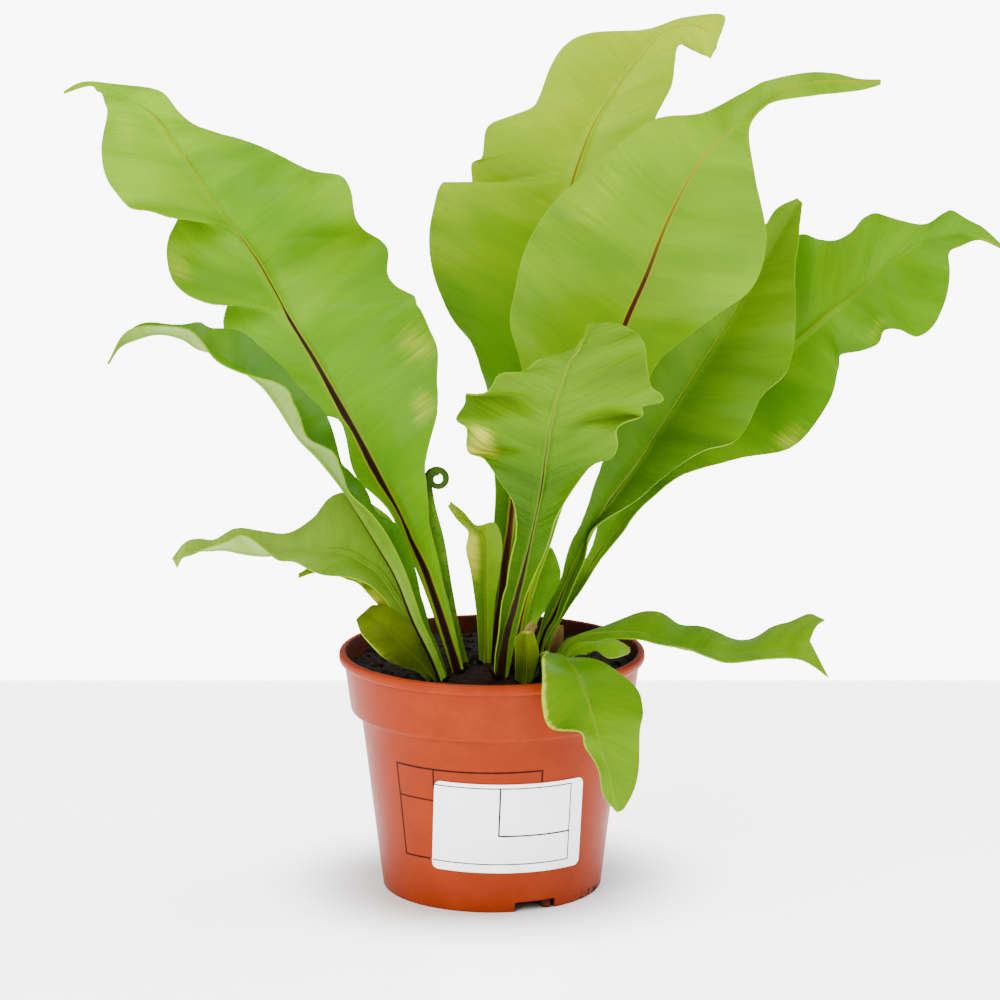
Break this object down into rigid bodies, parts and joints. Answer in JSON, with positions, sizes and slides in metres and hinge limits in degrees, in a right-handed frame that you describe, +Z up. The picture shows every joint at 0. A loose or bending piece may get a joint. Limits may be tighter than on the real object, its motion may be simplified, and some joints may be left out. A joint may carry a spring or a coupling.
{
  "type": "potted fern",
  "caption": "Bird's-nest type fern with broad wavy strap fronds and dark midribs, rooted in compost in a round tapered plastic nursery pot with a blank label.",
  "frame": {"origin": "bottom centre of the whole plant's bounding box, on the surface that the pot stands on", "axes": "+Z up, +X to the right and +Y away from the front, the side that carries the label"},
  "size_m": [0.3696, 0.141, 0.3381],
  "materials": {
    "pot_plastic": "satin terracotta-coloured injection-moulded plastic",
    "compost": "dark crumbly peat compost",
    "crown": "dark fibrous rhizome with scales",
    "label": "smooth white sticker",
    "frond_green": "glossy living leaf, mid green",
    "frond_lime": "glossy living leaf, lime green",
    "frond_deep": "living leaf, deep green",
    "frond_olive": "living leaf, paler matt underside",
    "frond_yellow": "leaf turning yellow",
    "dry_scale": "dry papery scale"
  },
  "bodies": {
    "root": {"pot": "pot_plastic", "compost": "compost", "crown": "crown", "label": "label", "frond_left_tall": "frond_green", "frond_left_curled": "frond_green", "frond_left_low": "frond_green", "frond_left_inner": "frond_deep", "frond_left_yellow": "frond_yellow", "frond_yellowing": "frond_yellow", "frond_back_tall": "frond_lime", "frond_centre_lime": "frond_lime", "frond_front_middle": "frond_olive", "frond_right_dark": "frond_deep", "frond_right_far": "frond_green", "frond_right_low": "frond_green", "frond_right_inner": "frond_green", "frond_front_drooping": "frond_green", "frond_front_stub": "frond_deep", "frond_back_short": "frond_green", "dry_scale_back": "dry_scale", "dry_scale_right": "dry_scale", "frond_crozier": "frond_green"}
  },
  "joints": []
}
